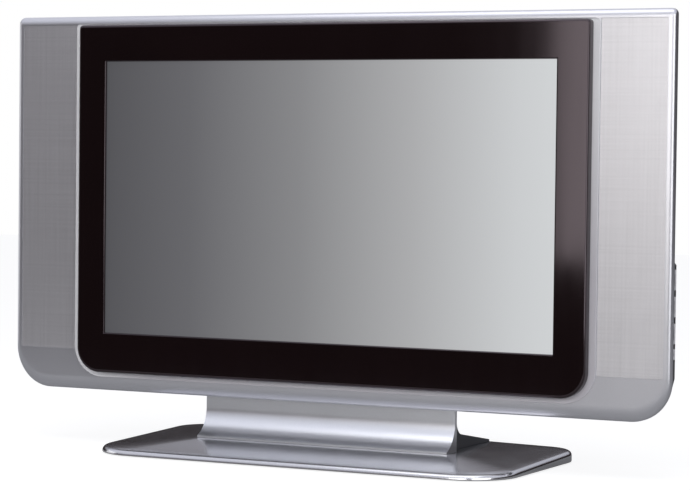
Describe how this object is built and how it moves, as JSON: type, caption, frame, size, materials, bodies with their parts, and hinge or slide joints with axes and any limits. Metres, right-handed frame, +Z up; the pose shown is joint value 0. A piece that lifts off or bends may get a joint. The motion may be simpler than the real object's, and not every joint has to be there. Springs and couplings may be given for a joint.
{
  "type": "flat screen tv",
  "caption": "Widescreen LCD television in a silver cabinet with a black screen surround, side speakers and side keys, on a wide table stand.",
  "frame": {"origin": "on the table, under the middle of the stand's base", "axes": "+X along the screen to the viewer's right, +Y from the screen to the back, +Z up"},
  "size_m": [0.8394, 0.252, 0.5137],
  "materials": {
    "silver_paint": "silver lacquer, satin gloss",
    "gloss_black": "piano black, high gloss",
    "grille_mesh": "fine silver mesh, satin",
    "dark_plastic": "fine grained dark grey moulding",
    "screen_glass": "grey anti-glare panel, unlit",
    "screw_steel": "zinc plated",
    "sheet_steel": "galvanised sheet",
    "white_plastic": "white moulding",
    "lamp_glass": "phosphor coated tube",
    "circuit_board": "green solder resist",
    "supply_board": "tan board",
    "black_plastic": "black connector moulding",
    "cone_paper": "treated black paper",
    "rubber": "black rubber"
  },
  "bodies": {
    "set": {"front_cabinet": "silver_paint", "screen_surround": "gloss_black", "surround_screws": "screw_steel", "grille_left": "grille_mesh", "grille_right": "grille_mesh", "rear_cover": "dark_plastic", "rear_cover_screws": "screw_steel", "lcd_frame": "sheet_steel", "lcd_glass": "screen_glass", "lcd_mid_frame": "dark_plastic", "optical_sheets": "white_plastic", "backlight_tray": "sheet_steel", "lamp_holders": "white_plastic", "backlight_lamps": "lamp_glass", "inverter_board": "circuit_board", "timing_board": "circuit_board", "chassis_plate": "sheet_steel", "chassis_screws": "screw_steel", "main_board": "circuit_board", "tuner": "sheet_steel", "scart_sockets": "black_plastic", "video_socket": "sheet_steel", "phono_sockets": "black_plastic", "terminal_plate": "sheet_steel", "power_board": "supply_board", "mains_inlet": "black_plastic", "board_screws": "screw_steel", "ir_receiver": "circuit_board", "speaker_box_left": "dark_plastic", "speaker_box_right": "dark_plastic", "driver_left": "dark_plastic", "driver_right": "dark_plastic", "cone_roll_left": "rubber", "cone_roll_right": "rubber", "speaker_screws": "screw_steel", "control_pod": "dark_plastic", "key_board": "circuit_board", "stand_base": "silver_paint", "base_plate": "sheet_steel", "rubber_feet": "rubber", "base_screws": "screw_steel", "neck_front": "silver_paint", "neck_rear": "dark_plastic", "neck_bracket": "sheet_steel", "stand_screws": "screw_steel", "bracket_screws": "screw_steel", "neck_screws": "screw_steel"},
    "key_programme": {"key_programme": "silver_paint"},
    "key_volume": {"key_volume": "silver_paint"},
    "key_menu": {"key_menu": "silver_paint"},
    "key_power": {"key_power": "silver_paint"},
    "cone_left": {"cone_left": "cone_paper"},
    "cone_right": {"cone_right": "cone_paper"}
  },
  "joints": [
    {"name": "key_programme_rock", "type": "hinge", "parent": "set", "child": "key_programme", "pos_m": [0.409, -0.006, 0.22], "axis": [0, 1, 0], "range_deg": [-3, 3], "stiffness_Nm_per_rad": 0.5},
    {"name": "key_volume_rock", "type": "hinge", "parent": "set", "child": "key_volume", "pos_m": [0.409, -0.006, 0.1907], "axis": [0, 1, 0], "range_deg": [-3, 3], "stiffness_Nm_per_rad": 0.5},
    {"name": "key_menu_rock", "type": "hinge", "parent": "set", "child": "key_menu", "pos_m": [0.409, -0.006, 0.1614], "axis": [0, 1, 0], "range_deg": [-3, 3], "stiffness_Nm_per_rad": 0.5},
    {"name": "key_power_press", "type": "slide", "parent": "set", "child": "key_power", "axis": [-1, 0, 0], "range_m": [0, 0.0009], "stiffness_N_per_m": 600},
    {"name": "cone_left_stroke", "type": "slide", "parent": "set", "child": "cone_left", "axis": [0, 1, 0], "range_m": [-0.0015, 0.0015], "stiffness_N_per_m": 1500},
    {"name": "cone_right_stroke", "type": "slide", "parent": "set", "child": "cone_right", "axis": [0, 1, 0], "range_m": [-0.0015, 0.0015], "stiffness_N_per_m": 1500}
  ]
}
